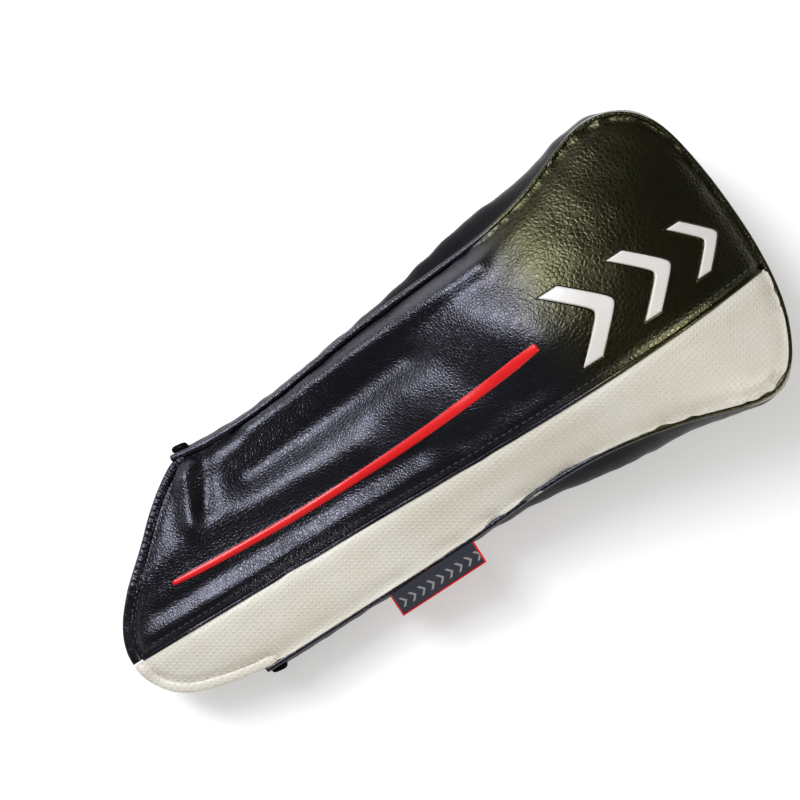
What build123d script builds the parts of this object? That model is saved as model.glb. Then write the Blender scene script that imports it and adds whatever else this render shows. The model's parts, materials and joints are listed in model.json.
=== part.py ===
from build123d import *
import os
from math import atan2, cos, exp, pi, radians, sin

# Padded golf driver head cover, lying on its back panel with the front panel up.
# Millimetres. +X runs from the mouth to the head end, +Y to the plain side, +Z up.
# The origin is on the floor, under the middle of the flat patch of the back panel.

# ---- driving dimensions -------------------------------------------------------
HEAD_X = 176.0          # head end of the front rim
TONGUE_X = -176.0       # tip of the tongue that runs past the mouth
MOUTH_LEFT = (-106.0, 53.0)     # where the gusset stops on the +Y side
MOUTH_RIGHT = (-122.0, -56.0)   # where the gusset stops on the -Y side

NECK_RIM_Z, HEAD_RIM_Z = 33.0, 62.0     # height of the front rim
NECK_CROWN, HEAD_CROWN = 9.0, 27.0      # rise of the front panel above its rim
NECK_HALF, HEAD_HALF = 55.0, 77.0       # half width at the rim
NECK_BACK_Z, HEAD_BACK_Z = 8.0, 19.0    # height of the back rim above the floor
GUSSET_BULGE = 8.5      # how far the gusset swells past the rim beside the head
GUSSET_BASE_BULGE = 1.5
FLAT_DEPTH = 0.5        # depth of the back panel pressed flat by the floor

SKIN = 1.2              # leatherette
FOAM = 3.0
LINING = 1.6
GLUE = 0.25             # gap between glued or sewn layers
SEAM_GAP = 0.3          # gap at butted edges

PIPE_R = 2.2            # welt piping
PIPE_DROP = 1.0         # how far its centre lies inside the panel's face
CORD_R = 1.25
CORD_SLACK = 0.25       # gap between the cord and its sleeve
PIPE_SLIT = 0.3         # where the sleeve's two edges meet
PIPE_CLEAR = 0.7        # gap between the piping and the edges sewn to it
WELT_HALF = 1.0         # flat welt between the two front panels
WELT_PROUD = 0.6
FRONT_GAP = 0.25        # gap between the front's parts: panels, welt and binding
TONGUE_BINDING = 5.5    # folded edge of the tongue
BINDING_PROUD = 0.5
MOUTH_HEM = 8.0         # folded hem of the gusset and back at the mouth
MOUTH_HEM_THICK = 3.4
HEM_FLOOR_GAP = 0.3     # how far the hem stays above the floor

STITCH = (2.6, 0.6, 0.5)
STITCH_PITCH = 3.6
SEAM_STITCH_OFFSET = 4.0
STRIPE_HALF, STRIPE_THICK = 1.6, 0.7
EMBLEM_THICK, EMBLEM_ROUND = 1.6, 1.2
LABEL_LENGTH, LABEL_REACH, LABEL_THICK = 48.0, 10.0, 0.5
LABEL_MID_X = -31.0
LABEL_SEAM_Y = (-56.5, -55.6)   # the rim at the label's two ends
LABEL_CLEAR = 1.25      # gap between the piping and the label, which lets it swing
LABEL_BORDER = 0.8      # how much of the label's edge shows round its face
LABEL_GAP = 0.25

NECK_SEAM_X = -38.0     # where the leather back panel meets the stretch neck panel
ELASTIC_X = (-92.0, -66.0)
ELASTIC_WIDTH, ELASTIC_LENGTH, ELASTIC_THICK = 8.0, 92.0, 1.4
TONGUE_CLEAR_DEG = 10.0     # slope of the cut that lets the tongue bend inwards
HINGE_LIFT = 1.0        # hinge line above the top of the front panel at the mouth

RIM_POINTS = [
    MOUTH_LEFT, (-55, 50.5), (0, 56), (50, 58.5), (85, 62), (115, 70.5), (141, 78),
    (161, 71), (172.5, 43), (HEAD_X, 5), (172.5, -38), (164, -60), (151, -73.5),
    (130, -70.5), (95, -59.5), (50, -53.5), (0, -55.5), (-60, -56.5), MOUTH_RIGHT,
]
TONGUE_POINTS = [
    MOUTH_RIGHT, (-148, -50), (-169, -38.5), (TONGUE_X, -20), (-169, 0), (-148, 20.5),
    (-127, 39.5), MOUTH_LEFT,
]
SEAM_POINTS = [(-185, -19.5), (-60, -23.2), (50, -26.4), (185, -22)]
STRIPE_POINTS = [(-138, 3), (-60, -2), (10, -1), (66, 4)]
# Three chevrons of falling size: (apex x, half height, bar length along x).
CHEVRONS = [(106, 19, 13), (137, 16.5, 11.5), (164, 13.5, 10)]
EMBLEM_Y = 3.0
CHEVRON_SWEEP = 20.0    # how far the largest chevron's arms trail behind its apex

# ---- layers, counted from the outside of the cover inwards --------------------
FOAM_DEPTH = SKIN + GLUE
LINING_DEPTH = FOAM_DEPTH + FOAM + GLUE
STACK = LINING_DEPTH + LINING
PANEL_INSET = PIPE_R + PIPE_CLEAR               # panels stop beside the piping
INNER_INSET = STACK + SEAM_GAP                  # foam and lining stop inside the gusset's layers
GUSSET_TRIM = PIPE_DROP + PIPE_R + PIPE_CLEAR   # the gusset stops under the piping
SIDE_GAP = WELT_HALF + FRONT_GAP                # the front panels stop beside the welt
BINDING_EDGE = TONGUE_BINDING + FRONT_GAP       # the tongue's layers stop inside its folded edge
HEAD_SEAM = 0.48        # where the two gusset halves meet, as a share of the rim


# ---- the shape of the cover ---------------------------------------------------
def ease(t):
    """Smooth step from 0 to 1."""
    t = min(1.0, max(0.0, t))
    return t * t * (3 - 2 * t)


def half_width(x):
    return NECK_HALF + (HEAD_HALF - NECK_HALF) * ease((x - 30) / 115)


def front_height(x, y):
    """Height of the outside of the front panel."""
    rim = NECK_RIM_Z + (HEAD_RIM_Z - NECK_RIM_Z) * ease((x + 70) / 170)
    crown = NECK_CROWN + (HEAD_CROWN - NECK_CROWN) * ease((x + 50) / 140)
    closing = 1 - (max(0.0, x - 90) / 88) ** 2.5
    droop = 0.0025 * max(0.0, -110 - x) ** 2
    return rim + crown * closing * (1 - (y / half_width(x)) ** 2) - droop


def back_height(x, y):
    """Height of the outside of the back panel, before the floor presses it flat."""
    lift = NECK_BACK_Z + (HEAD_BACK_Z - NECK_BACK_Z) * ease((x + 70) / 170)
    reach = ((y / half_width(x)) ** 4 + (max(0.0, x - 60) / 116) ** 4) ** 0.25
    return lift * (max(0.0, reach - 0.35) / 0.65) ** 2 - FLAT_DEPTH


def bulge(x):
    """How far the gusset stands past the rim at its widest."""
    return GUSSET_BASE_BULGE + GUSSET_BULGE * exp(-(((x - 72) / 42) ** 2))


def height_face(height, lift):
    """A smooth face over the whole plan, lift above the given height function."""
    rows = [
        [(x, y, height(x, y) + lift) for y in range(-90, 91, 12)]
        for x in range(-190, 191, 10)
    ]
    return Face.make_surface_from_array_of_points(rows, tol=0.05)


def front_slab(top, thickness):
    """A sheet that follows the front panel, its upper side at top above the skin's outside."""
    return Solid.extrude(height_face(front_height, top - thickness), Vector(0, 0, thickness))


def back_slab(bottom, thickness):
    """A sheet that follows the back panel, its lower side at bottom above the skin's outside."""
    return Solid.extrude(height_face(back_height, bottom), Vector(0, 0, thickness))


rim_line = Spline(RIM_POINTS)
tongue_line = Spline(TONGUE_POINTS)


def rim_frame(t):
    """Point on the rim in plan, and its outward direction."""
    point, along = rim_line @ t, rim_line % t
    return point, Vector(-along.Y, along.X, 0).normalized()


def rim_path(height, drop):
    """The rim as a space curve, drop below the given height function."""
    stations = [rim_line.param_at_point(Vector(*corner, 0)) for corner in RIM_POINTS]
    halfway = [(before + after) / 2 for before, after in zip(stations, stations[1:])]
    points = []
    for t in sorted(stations + halfway):
        point, _ = rim_frame(t)
        points.append((point.X, point.Y, height(point.X, point.Y) - drop))
    return Spline(points)


def gusset_point(t, part):
    """Outside of the gusset: t along the rim, part of the way up from the back to the front."""
    point, outward = rim_frame(t)
    low = back_height(point.X, point.Y) + GUSSET_TRIM
    high = front_height(point.X, point.Y) - GUSSET_TRIM
    spot = point + outward * (bulge(point.X) * sin(pi * part))
    return Vector(spot.X, spot.Y, low + (high - low) * part)


def gusset_face(depth, start, end):
    """The gusset's surface between two places along the rim, depth inside its outside."""
    step = 0.002
    columns = int(110 * (end - start))
    grid = []
    for i in range(columns + 1):
        t = min(1 - step, max(step, start + (end - start) * i / columns))
        column = []
        for j in range(7):
            part = j / 6
            up = gusset_point(t, part + step) - gusset_point(t, part - step)
            along = gusset_point(t + step, part) - gusset_point(t - step, part)
            spot = gusset_point(t, part) + along.cross(up).normalized() * depth
            column.append((spot.X, spot.Y, spot.Z))
        grid.append(column)
    return Face.make_surface_from_array_of_points(grid, tol=0.02)

# ---- the cut between the cover and its tongue ----------------------------------
left, right = Vector(*MOUTH_LEFT, 0), Vector(*MOUTH_RIGHT, 0)
hinge_along = (right - left).normalized()
toward_tongue = Vector(hinge_along.Y, -hinge_along.X, 0)
hinge_mid = (left + right) * 0.5
hinge_z = front_height(hinge_mid.X, 0) + HINGE_LIFT
hinge_mid = Vector(hinge_mid.X, hinge_mid.Y, hinge_z)
slope = radians(TONGUE_CLEAR_DEG)
tilted = toward_tongue * cos(slope) + Vector(0, 0, sin(slope))
COVER_CUT = Plane(hinge_mid - toward_tongue * SEAM_GAP / 2, x_dir=hinge_along, z_dir=toward_tongue)
TONGUE_CUT = Plane(hinge_mid + tilted * SEAM_GAP / 2, x_dir=hinge_along, z_dir=tilted)
HEM_CUT = Plane(
    hinge_mid - toward_tongue * (MOUTH_HEM + SEAM_GAP), x_dir=hinge_along, z_dir=toward_tongue
)
NECK_CUT = Plane((NECK_SEAM_X, 0, 0), x_dir=(0, 1, 0), z_dir=(-1, 0, 0))


# ---- plan regions ---------------------------------------------------------------
PLAN_LIMIT = 110.0      # past the cover on every side
PLAN_END = 200.0
TALL = 120.0            # past the top of the cover


def half_plane_of(line_points, side):
    """Everything on the cover's side of an open edge; side 1 runs on to +X, -1 to -X."""
    with BuildSketch() as region:
        with BuildLine():
            edge = Spline(line_points)
            Polyline(
                edge @ 1,
                (side * PLAN_END, side * PLAN_LIMIT),
                (side * PLAN_END, -side * PLAN_LIMIT),
                edge @ 0,
            )
        make_face()
    return region.sketch


def inset_points(line, distance, count):
    """Points along a plan line, moved towards the inside of the plan."""
    points = []
    for i in range(count + 1):
        point, along = line @ (i / count), line % (i / count)
        points.append((point.X + along.Y * distance, point.Y - along.X * distance))
    return points


def inset_plan(distance):
    """The cover's plan, shrunk on every side."""
    with BuildSketch() as smaller:
        add(half_plane_of(inset_points(rim_line, distance, 40), -1))
        add(half_plane_of(inset_points(tongue_line, distance, 12), 1), mode=Mode.INTERSECT)
    return smaller.sketch


def side_of_seam(gap, sign):
    """The plan on the +Y side (sign 1) or the -Y side (-1) of the front seam, gap away from it."""
    with BuildSketch() as half:
        with BuildLine():
            line = Spline([(x, y + sign * gap) for x, y in SEAM_POINTS])
            Polyline(
                line @ 1, (PLAN_END, sign * PLAN_LIMIT), (-PLAN_END, sign * PLAN_LIMIT), line @ 0
            )
        make_face()
    return half.sketch


def plan_of(inset, sign=0, gap=0.0, outer_ring=False):
    """Inset plan, kept to one side of the front seam if sign isn't 0, or the ring outside it."""
    with BuildSketch() as plan:
        if outer_ring:
            add(inset_plan(0))
            add(inset_plan(inset), mode=Mode.SUBTRACT)
        else:
            add(inset_plan(inset))
        if sign:
            add(side_of_seam(gap, sign), mode=Mode.INTERSECT)
    return plan.sketch


def save(part, name):
    """Label a finished piece and write its STEP file."""
    part.label = name
    export_step(part, os.path.join("parts", name + ".step"))


def sheet(slab, plan, cut, keep):
    """A piece of a sheet: inside the plan, on one side of a cut."""
    with BuildPart() as piece:
        add(slab)
        with BuildSketch():
            add(plan)
        extrude(amount=TALL, mode=Mode.INTERSECT)
        split(bisect_by=cut, keep=keep)
    return piece


def cover_and_tongue(slab, cover_shape, tongue_shape, name):
    """One sewn sheet, split at the flex line into its cover part and its tongue part."""
    save(sheet(slab, cover_shape, COVER_CUT, Keep.BOTTOM).part, name)
    save(sheet(slab, tongue_shape, TONGUE_CUT, Keep.TOP).part, "tongue_" + name)


os.makedirs("parts", exist_ok=True)

# ---- front panels ---------------------------------------------------------------
skin_slab = front_slab(0, SKIN)
for name, sign in (("front_panel", 1), ("side_panel", -1)):
    cover_and_tongue(
        skin_slab, plan_of(PANEL_INSET, sign, SIDE_GAP), plan_of(BINDING_EDGE, sign, SIDE_GAP), name
    )


# ---- welt between the two front panels --------------------------------------------
def welt_plan(inset):
    """A band along the front seam, within the inset plan."""
    with BuildSketch() as plan:
        add(plan_of(inset, 1, -WELT_HALF))
        add(side_of_seam(WELT_HALF, 1), mode=Mode.SUBTRACT)
    return plan.sketch


cover_and_tongue(
    front_slab(WELT_PROUD, SKIN + WELT_PROUD),
    welt_plan(PANEL_INSET),
    welt_plan(BINDING_EDGE),
    "seam_welt",
)

# ---- red stripe -------------------------------------------------------------------
with BuildSketch() as stripe_plan:
    with BuildLine() as stripe_line:
        Spline(STRIPE_POINTS)
    trace(line_width=2 * STRIPE_HALF)

cover_and_tongue(
    front_slab(GLUE + STRIPE_THICK, STRIPE_THICK), stripe_plan.sketch, stripe_plan.sketch, "red_stripe"
)

# ---- raised emblem: three chevrons ---------------------------------------------------
with BuildSketch() as emblem_plan:
    for apex, half, bar in CHEVRONS:
        back = CHEVRON_SWEEP * half / CHEVRONS[0][1]
        with BuildLine():
            Polyline(
                (apex, EMBLEM_Y),
                (apex - back, EMBLEM_Y + half),
                (apex - back - bar, EMBLEM_Y + half),
                (apex - bar, EMBLEM_Y),
                (apex - back - bar, EMBLEM_Y - half),
                (apex - back, EMBLEM_Y - half),
                close=True,
            )
        make_face()
    fillet(emblem_plan.vertices(), radius=EMBLEM_ROUND)

with BuildPart() as emblem:
    add(front_slab(GLUE + EMBLEM_THICK, EMBLEM_THICK))
    with BuildSketch():
        add(emblem_plan.sketch)
    extrude(amount=TALL, mode=Mode.INTERSECT)
save(emblem.part, "emblem")

# ---- front foam and lining -------------------------------------------------------------
cover_and_tongue(
    front_slab(-FOAM_DEPTH, FOAM), plan_of(INNER_INSET), plan_of(BINDING_EDGE), "front_foam"
)
cover_and_tongue(
    front_slab(-LINING_DEPTH, LINING), plan_of(INNER_INSET), plan_of(BINDING_EDGE), "front_lining"
)

# ---- folded edge of the tongue -----------------------------------------------------------
binding_slab = front_slab(BINDING_PROUD, STACK + 2 * BINDING_PROUD)
for name, sign in (("tongue_binding_black", 1), ("tongue_binding_white", -1)):
    ring = plan_of(TONGUE_BINDING, sign, FRONT_GAP / 2, outer_ring=True)
    save(sheet(binding_slab, ring, TONGUE_CUT, Keep.TOP).part, name)


# ---- stitching -----------------------------------------------------------------------------
def on_front(x, y, yaw):
    """A place on the front panel, with X along the given heading in plan."""
    step = 0.5
    fall_x = (front_height(x + step, y) - front_height(x - step, y)) / (2 * step)
    fall_y = (front_height(x, y + step) - front_height(x, y - step)) / (2 * step)
    along = Vector(cos(yaw), sin(yaw), fall_x * cos(yaw) + fall_y * sin(yaw))
    return Plane((x, y, front_height(x, y)), x_dir=along, z_dir=(-fall_x, -fall_y, 1)).location


def stitch_row(line, side, keep):
    """Stitches on the front panel, side away from a plan line, where keep(point) is true."""
    count = int(line.length / STITCH_PITCH)
    places = []
    for i in range(count):
        t = (i + 0.5) / count
        point, along = line @ t, line % t
        x, y = point.X - along.Y * side, point.Y + along.X * side
        if keep(Vector(x, y)):
            places.append(on_front(x, y, atan2(along.Y, along.X)))
    with BuildPart() as row:
        with Locations(places):
            Box(*STITCH)
    return row.part


def past_mouth(point):
    """Distance of a plan point past the flex line, towards the tongue's tip."""
    return (Vector(point.X, point.Y, hinge_z) - hinge_mid).dot(toward_tongue)


def on_cover(point):
    return past_mouth(point) < -STITCH[0] and point.X < HEAD_X - STITCH[0]


def on_tongue(point):
    return past_mouth(point) > STITCH[0] and point.X > TONGUE_X + BINDING_EDGE + 3 * STITCH[0]


def beside_black_binding(point):
    return past_mouth(point) > 2 * STITCH[0] and point.Y > SEAM_POINTS[0][1] + SEAM_STITCH_OFFSET


def beside_white_binding(point):
    return past_mouth(point) > 2 * STITCH[0] and point.Y < SEAM_POINTS[0][1] - SEAM_STITCH_OFFSET


seam_line = Spline(SEAM_POINTS)
for name, line, side, keep in (
    ("seam_stitches", seam_line, SEAM_STITCH_OFFSET, on_cover),
    ("tongue_seam_stitches", seam_line, SEAM_STITCH_OFFSET, on_tongue),
    ("binding_stitches_black", tongue_line, -BINDING_EDGE - STITCH[1], beside_black_binding),
    ("binding_stitches_white", tongue_line, -BINDING_EDGE - STITCH[1], beside_white_binding),
):
    save(stitch_row(line, side, keep), name)


# ---- piping ------------------------------------------------------------------------------------
def piping(height, drop, cut, name):
    """A leather sleeve wrapped round a cord, along the rim; the slit faces into the gusset."""
    path = rim_path(height, drop)
    outward = rim_frame(0)[1]
    section_plane = Plane(path @ 0, x_dir=outward, z_dir=path % 0)
    inward = 1 if section_plane.y_dir.Z * drop < 0 else -1
    with BuildPart() as sleeve:
        with BuildSketch(section_plane):
            Circle(PIPE_R)
            Circle(CORD_R + CORD_SLACK, mode=Mode.SUBTRACT)
            with Locations((0, inward * PIPE_R)):
                Rectangle(PIPE_SLIT, 2 * PIPE_R, mode=Mode.SUBTRACT)
        sweep(path=path, is_frenet=True)
        split(bisect_by=cut, keep=Keep.BOTTOM)
    with BuildPart() as cord:
        with BuildSketch(section_plane):
            Circle(CORD_R)
        sweep(path=path, is_frenet=True)
        split(bisect_by=cut, keep=Keep.BOTTOM)
    save(sleeve.part, name)
    save(cord.part, name + "_cord")


piping(front_height, PIPE_DROP, COVER_CUT, "front_piping")
piping(back_height, -PIPE_DROP, HEM_CUT, "back_piping")


# ---- gusset -------------------------------------------------------------------------------------
def gusset_piece(depth, thickness, spans, name):
    """Strips of the gusset, from depth inside its outside, inwards."""
    with BuildPart() as piece:
        for start, end in spans:
            thicken(gusset_face(depth, start, end), amount=thickness)
        split(bisect_by=HEM_CUT, keep=Keep.BOTTOM)
    save(piece.part, name)


LEFT_SPAN = (0, HEAD_SEAM - SEAM_GAP / rim_line.length)
RIGHT_SPAN = (HEAD_SEAM, 1)
gusset_piece(0, SKIN, [LEFT_SPAN], "gusset_left")
gusset_piece(0, SKIN, [RIGHT_SPAN], "gusset_right")
gusset_piece(FOAM_DEPTH, FOAM, [LEFT_SPAN, RIGHT_SPAN], "gusset_foam")
gusset_piece(LINING_DEPTH, LINING, [LEFT_SPAN, RIGHT_SPAN], "gusset_lining")


# ---- back -----------------------------------------------------------------------------------------
def back_piece(bottom, thickness, inset, name, cut, keep, second_cut=None):
    """A sheet of the back on one side of a cut, flat where the floor presses it."""
    with BuildPart() as piece:
        add(sheet(back_slab(bottom, thickness), plan_of(inset), cut, keep).part)
        split(bisect_by=Plane.XY, keep=Keep.TOP)
        if second_cut:
            split(bisect_by=second_cut, keep=Keep.BOTTOM)
    save(piece.part, name)


back_piece(0, SKIN, PANEL_INSET, "back_panel", NECK_CUT, Keep.BOTTOM)
back_piece(
    0, SKIN, PANEL_INSET, "back_neck_panel", NECK_CUT.offset(SEAM_GAP), Keep.TOP, second_cut=HEM_CUT
)
back_piece(FOAM_DEPTH, FOAM, INNER_INSET, "back_foam", NECK_CUT, Keep.BOTTOM)
back_piece(LINING_DEPTH, LINING, INNER_INSET, "back_lining", HEM_CUT, Keep.BOTTOM)

with BuildPart() as elastic_bands:
    add(back_slab(SKIN + GLUE, ELASTIC_THICK))
    with BuildSketch():
        with Locations([(x, 0) for x in ELASTIC_X]):
            Rectangle(ELASTIC_WIDTH, ELASTIC_LENGTH)
    extrude(amount=TALL, mode=Mode.INTERSECT)
save(elastic_bands.part, "elastic_bands")


# ---- hem of the gusset and back at the mouth ----------------------------------------------------------
def hem_wall(corner, outward):
    """Points up the gusset's outside at one side of the mouth."""
    low = back_height(corner.X, corner.Y) + GUSSET_TRIM / 2
    high = front_height(corner.X, corner.Y) - GUSSET_TRIM
    wall = []
    for part in (0.2, 0.5, 0.8):
        spot = corner + outward * (bulge(corner.X) * sin(pi * part))
        wall.append((spot.X, spot.Y, low + (high - low) * part))
    return wall


def hem_section(distance):
    """Points down one gusset, across the back and up the other, distance inside the mouth."""
    share = distance / rim_line.length
    (start, start_out), (end, end_out) = rim_frame(share), rim_frame(1 - share)
    across = []
    for part in (0.06, 0.2, 0.35, 0.5, 0.65, 0.8, 0.94):
        spot = start + (end - start) * part
        across.append((spot.X, spot.Y, max(HEM_FLOOR_GAP, back_height(spot.X, spot.Y))))
    return hem_wall(start, start_out)[::-1] + across + hem_wall(end, end_out)


hem_rows = [hem_section(0.3 * MOUTH_HEM * i) for i in range(5)]
hem_face = Face.make_surface_from_array_of_points(hem_rows, tol=0.05)
with BuildPart() as mouth_hem:
    thicken(hem_face, amount=-MOUTH_HEM_THICK)
    split(bisect_by=COVER_CUT, keep=Keep.BOTTOM)
    split(bisect_by=HEM_CUT.offset(SEAM_GAP), keep=Keep.TOP)
save(mouth_hem.part, "mouth_hem")

# ---- woven label in the side seam -------------------------------------------------------------------------
label_ends = []
for end, y in zip((-1, 1), LABEL_SEAM_Y):
    x = LABEL_MID_X + end * LABEL_LENGTH / 2
    label_ends.append(Vector(x, y, front_height(x, y) - PIPE_DROP))
label_along = (label_ends[1] - label_ends[0]).normalized()
label_root = (label_ends[0] + label_ends[1]) * 0.5 - Vector(0, PIPE_R + LABEL_CLEAR, 0)
label_up = Vector(0, 0, 1) - label_along * label_along.Z
label_plane = Plane(label_root, x_dir=label_along, z_dir=label_up)
with BuildPart(label_plane) as label_edge:
    with Locations((0, -LABEL_REACH / 2, -LABEL_THICK / 2)):
        Box(LABEL_LENGTH, LABEL_REACH, LABEL_THICK)
save(label_edge.part, "label_edge")
with BuildPart(label_plane) as label_face:
    with Locations((0, -(LABEL_REACH - LABEL_BORDER) / 2, LABEL_THICK / 2 + LABEL_GAP)):
        Box(LABEL_LENGTH - 2 * LABEL_BORDER, LABEL_REACH - LABEL_BORDER, LABEL_THICK)
save(label_face.part, "label_face")
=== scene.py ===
"""Looks of a padded golf driver head cover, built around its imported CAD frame."""
import json
import math

import bmesh
import bpy
import numpy as np
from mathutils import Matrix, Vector, noise
from mathutils.bvhtree import BVHTree

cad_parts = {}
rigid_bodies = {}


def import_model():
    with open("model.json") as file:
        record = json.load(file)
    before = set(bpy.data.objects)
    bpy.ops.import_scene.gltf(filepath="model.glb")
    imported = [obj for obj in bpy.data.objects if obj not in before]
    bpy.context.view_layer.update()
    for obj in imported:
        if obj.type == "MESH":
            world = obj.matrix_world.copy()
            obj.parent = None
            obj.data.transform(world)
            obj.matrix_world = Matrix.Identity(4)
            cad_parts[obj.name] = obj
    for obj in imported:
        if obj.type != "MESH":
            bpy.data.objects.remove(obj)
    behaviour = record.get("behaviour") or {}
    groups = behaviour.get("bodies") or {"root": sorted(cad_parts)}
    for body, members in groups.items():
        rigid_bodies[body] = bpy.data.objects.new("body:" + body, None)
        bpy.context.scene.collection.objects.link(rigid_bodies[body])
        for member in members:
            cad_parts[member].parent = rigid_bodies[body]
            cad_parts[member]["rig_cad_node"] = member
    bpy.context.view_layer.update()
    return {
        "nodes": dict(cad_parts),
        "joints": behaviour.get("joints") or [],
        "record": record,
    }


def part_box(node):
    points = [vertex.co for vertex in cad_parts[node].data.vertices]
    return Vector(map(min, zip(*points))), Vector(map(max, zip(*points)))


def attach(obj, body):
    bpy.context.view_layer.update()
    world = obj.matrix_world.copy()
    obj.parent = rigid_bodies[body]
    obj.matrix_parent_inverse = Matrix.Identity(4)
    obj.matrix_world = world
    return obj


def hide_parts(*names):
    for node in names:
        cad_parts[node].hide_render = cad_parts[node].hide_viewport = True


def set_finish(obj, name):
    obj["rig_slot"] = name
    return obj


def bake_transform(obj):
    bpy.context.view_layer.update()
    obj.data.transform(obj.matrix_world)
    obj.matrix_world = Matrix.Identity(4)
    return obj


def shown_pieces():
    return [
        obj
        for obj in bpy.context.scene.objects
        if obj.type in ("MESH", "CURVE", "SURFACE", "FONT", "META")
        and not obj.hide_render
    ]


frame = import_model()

MM = 0.001              # meshes are worked out in millimetres and written in metres
DOWN, UP = Vector((0, 0, -1)), Vector((0, 0, 1))
FAR = 300.0             # past the object in every direction

# ---- reading the frame ----
SKIN = 1.2              # thickness of the leather
FOAM_DEPTH = 1.45       # top of the foam below the outside of the leather
FOAM_BASE = 4.45        # bottom of the foam
LINING_DEPTH = 4.7      # top of the lining
STACK = 6.3             # leather, foam and lining together
PIPE_RADIUS = 1.45
CORD_RADIUS = 1.25
PIPE_DROP = 1.0         # centre of the piping below the panel's face
BINDING_PROUD = 0.5     # how far the tongue's folded edge stands above the panel
HEAD_CENTRE = 90.0      # the rim is followed by angle past this x, and by x before it
HEAD_REACH = 80.0

hinge = next(j for j in frame["joints"] if j["name"] == "tongue_flex")
HINGE = np.array(hinge["pos_m"]) / MM
HINGE_AXIS = np.array(hinge["axis"])
TOWARD_TONGUE = np.array([-HINGE_AXIS[1], HINGE_AXIS[0], 0])


def node_points(*names):
    """Vertices of CAD nodes."""
    clouds = []
    for name in names:
        mesh = frame["nodes"][name].data
        flat = np.zeros(len(mesh.vertices) * 3)
        mesh.vertices.foreach_get("co", flat)
        clouds.append(flat.reshape(-1, 3) / MM)
    return np.concatenate(clouds)


def node_tree(*names):
    """Ray-casting tree over CAD nodes."""
    corners, faces = [], []
    for name in names:
        first = len(corners)
        faces += [[first + i for i in p.vertices] for p in frame["nodes"][name].data.polygons]
        corners += [Vector(c) for c in node_points(name)]
    return BVHTree.FromPolygons(corners, faces)


def centre_line(points, key, start, end, reach):
    """Smooth line through the middle of a slender node, in order of key."""
    line = []
    for at in np.arange(start, end + 1, 2.0):
        weight = np.exp(-0.5 * ((key - at) / reach) ** 2)[:, None]
        total = weight.sum()
        offset = key[:, None] - at
        mean_offset = (weight * offset).sum() / total
        mean = (weight * points).sum(0) / total
        spread = (weight * (offset - mean_offset) ** 2).sum()
        slope = (weight * (offset - mean_offset) * (points - mean)).sum(0) / spread
        line.append(mean - slope * mean_offset)
    return np.array(line)


def rim_key(points):
    """Distance along the rim, from the head's +Y shoulder."""
    x, y = points[:, 0] - HEAD_CENTRE, points[:, 1]
    turn = HEAD_REACH * np.arctan2(np.maximum(x, 0), y)
    return np.where(x < 0, np.where(y > 0, x, math.pi * HEAD_REACH - x), turn)


def rim_of(node):
    points = node_points(node)
    key = rim_key(points)
    return centre_line(points, key, key.min() + 1, key.max() - 1, reach=4.0)


def smooth_cyclic(line, passes):
    for _ in range(passes):
        line = (np.roll(line, 1, 0) + 2 * line + np.roll(line, -1, 0)) / 4
    return line


def evenly(line, count):
    """A line with the given number of points, evenly spaced."""
    length = np.concatenate([[0], np.cumsum(np.linalg.norm(np.diff(line, axis=0), axis=1))])
    at = np.linspace(0, length[-1], count)
    return np.stack([np.interp(at, length, line[:, i]) for i in range(line.shape[1])], 1)


def resample(line, spacing, closed=False):
    """Evenly spaced points along a line."""
    if closed:
        line = np.concatenate([line, line[:1]])
    length = np.linalg.norm(np.diff(line, axis=0), axis=1).sum()
    even = evenly(line, int(round(length / spacing)) + 1)
    return even[:-1] if closed else even


def tongue_edge():
    """Plan of the tongue's edge, from the -Y end of the mouth round the tip to the +Y end."""
    tree = node_tree(*[n for n in frame["nodes"] if n.startswith("tongue_")])
    first = math.atan2(HINGE_AXIS[1], HINGE_AXIS[0])
    edge = []
    for turn in np.radians(np.arange(178, 1.9, -1.0)):
        heading = np.array([math.cos(first + turn), math.sin(first + turn)])
        for reach in np.arange(80, 20, -0.2):
            spot = HINGE[:2] + heading * reach
            if tree.ray_cast(Vector((spot[0], spot[1], FAR)), DOWN)[0]:
                edge.append(spot)
                break
    return np.array(edge)


front_rim = rim_of("front_piping_cord")
back_rim = rim_of("back_piping_cord")
outline = np.concatenate([front_rim[:, :2], tongue_edge()])
outline = smooth_cyclic(resample(outline, 1.0, closed=True), 12)
ahead = np.roll(outline, -1, 0) - np.roll(outline, 1, 0)
outline_out = np.stack([-ahead[:, 1], ahead[:, 0]], 1) / np.linalg.norm(ahead, axis=1)[:, None]
past_mouth = (outline - HINGE[:2]) @ TOWARD_TONGUE[:2]
on_tongue = past_mouth > 0


def edge_distance(x, y, part=None):
    """Distance from the outline, or from the part of it that a mask picks."""
    edge = outline if part is None else outline[part]
    flat = np.stack([np.ravel(x), np.ravel(y)], 1)
    nearest = np.empty(len(flat))
    batch = 4000        # keeps the table of gaps small
    for i in range(0, len(flat), batch):
        gap = flat[i:i + batch, None, :] - edge[None]
        nearest[i:i + batch] = np.sqrt((gap ** 2).sum(2).min(1))
    return nearest.reshape(np.shape(x))


class HeightMap:
    """A height over the plan, on a square grid."""

    step = 2.0
    low = np.array([-190.0, -94.0])
    shape = (190, 95)

    def __init__(self, values):
        self.values = values

    @classmethod
    def grid(cls):
        x = cls.low[0] + cls.step * np.arange(cls.shape[0])
        y = cls.low[1] + cls.step * np.arange(cls.shape[1])
        return np.meshgrid(x, y, indexing="ij")

    def __call__(self, x, y):
        u = np.clip((x - self.low[0]) / self.step, 0, self.shape[0] - 1.001)
        v = np.clip((y - self.low[1]) / self.step, 0, self.shape[1] - 1.001)
        i, j = u.astype(int), v.astype(int)
        u, v = u - i, v - j
        z = self.values
        near = z[i, j] * (1 - u) + z[i + 1, j] * u
        far = z[i, j + 1] * (1 - u) + z[i + 1, j + 1] * u
        return near * (1 - v) + far * v


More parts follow.
